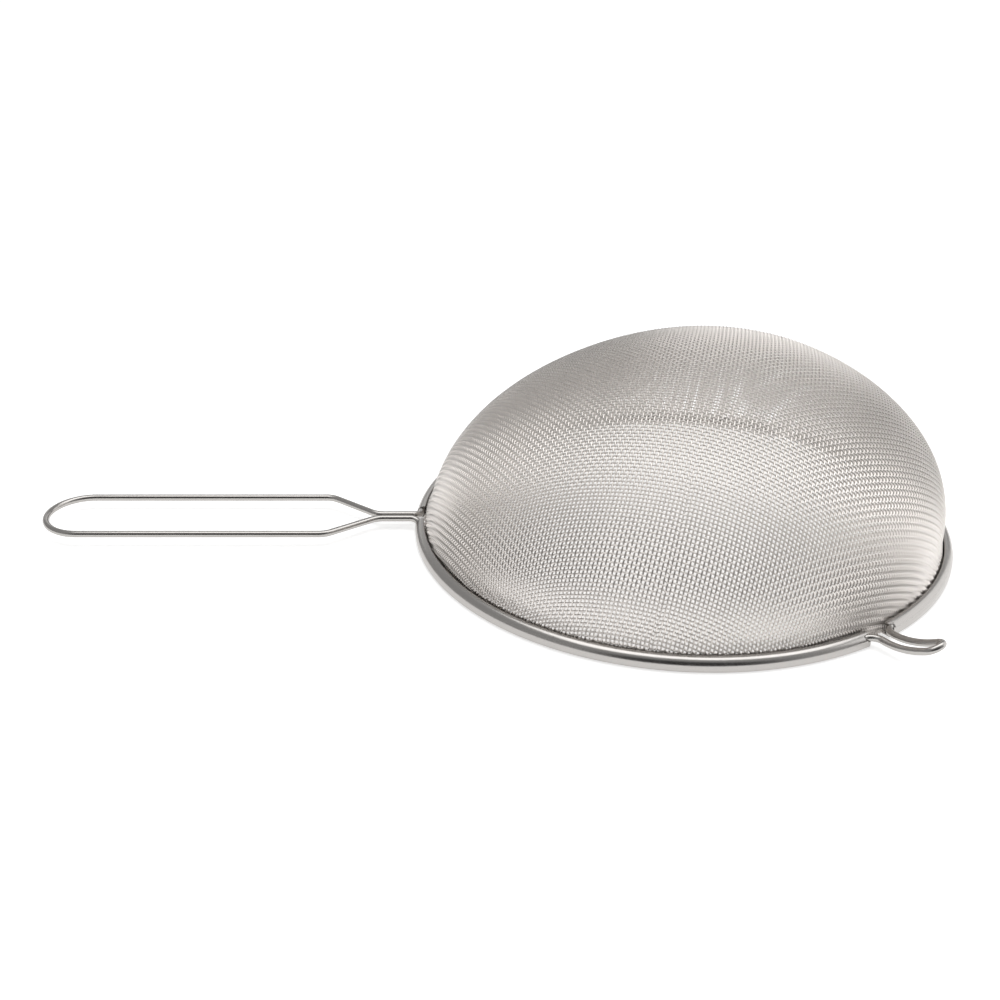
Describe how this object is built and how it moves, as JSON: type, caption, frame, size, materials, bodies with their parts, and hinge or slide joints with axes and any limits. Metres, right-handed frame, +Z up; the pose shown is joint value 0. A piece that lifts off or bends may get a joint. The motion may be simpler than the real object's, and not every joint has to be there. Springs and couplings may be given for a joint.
{
  "type": "wire mesh sieve",
  "caption": "Round wire-mesh sieve with a domed woven bowl, a folded sheet rim, a bent wire loop handle and wire rest hooks opposite the handle.",
  "frame": {"origin": "centre of the whole part's footprint, on the surface that the rim stands on", "axes": "+X from the handle to the rest hooks, +Y to the far side as pictured, +Z up to the bowl's crown"},
  "size_m": [0.3402, 0.1998, 0.0731],
  "materials": {
    "frame_wire": "bright drawn round steel wire",
    "rim_sheet": "satin folded sheet steel",
    "woven_mesh": "plain-woven fine steel wire"
  },
  "bodies": {
    "root": {"handle_wire": "frame_wire", "near_hook": "frame_wire", "far_hook": "frame_wire", "near_hoop": "frame_wire", "front_hoop": "frame_wire", "far_hoop": "frame_wire", "near_sleeve": "rim_sheet", "front_sleeve": "rim_sheet", "far_sleeve": "rim_sheet", "mesh_bowl": "woven_mesh"}
  },
  "joints": []
}
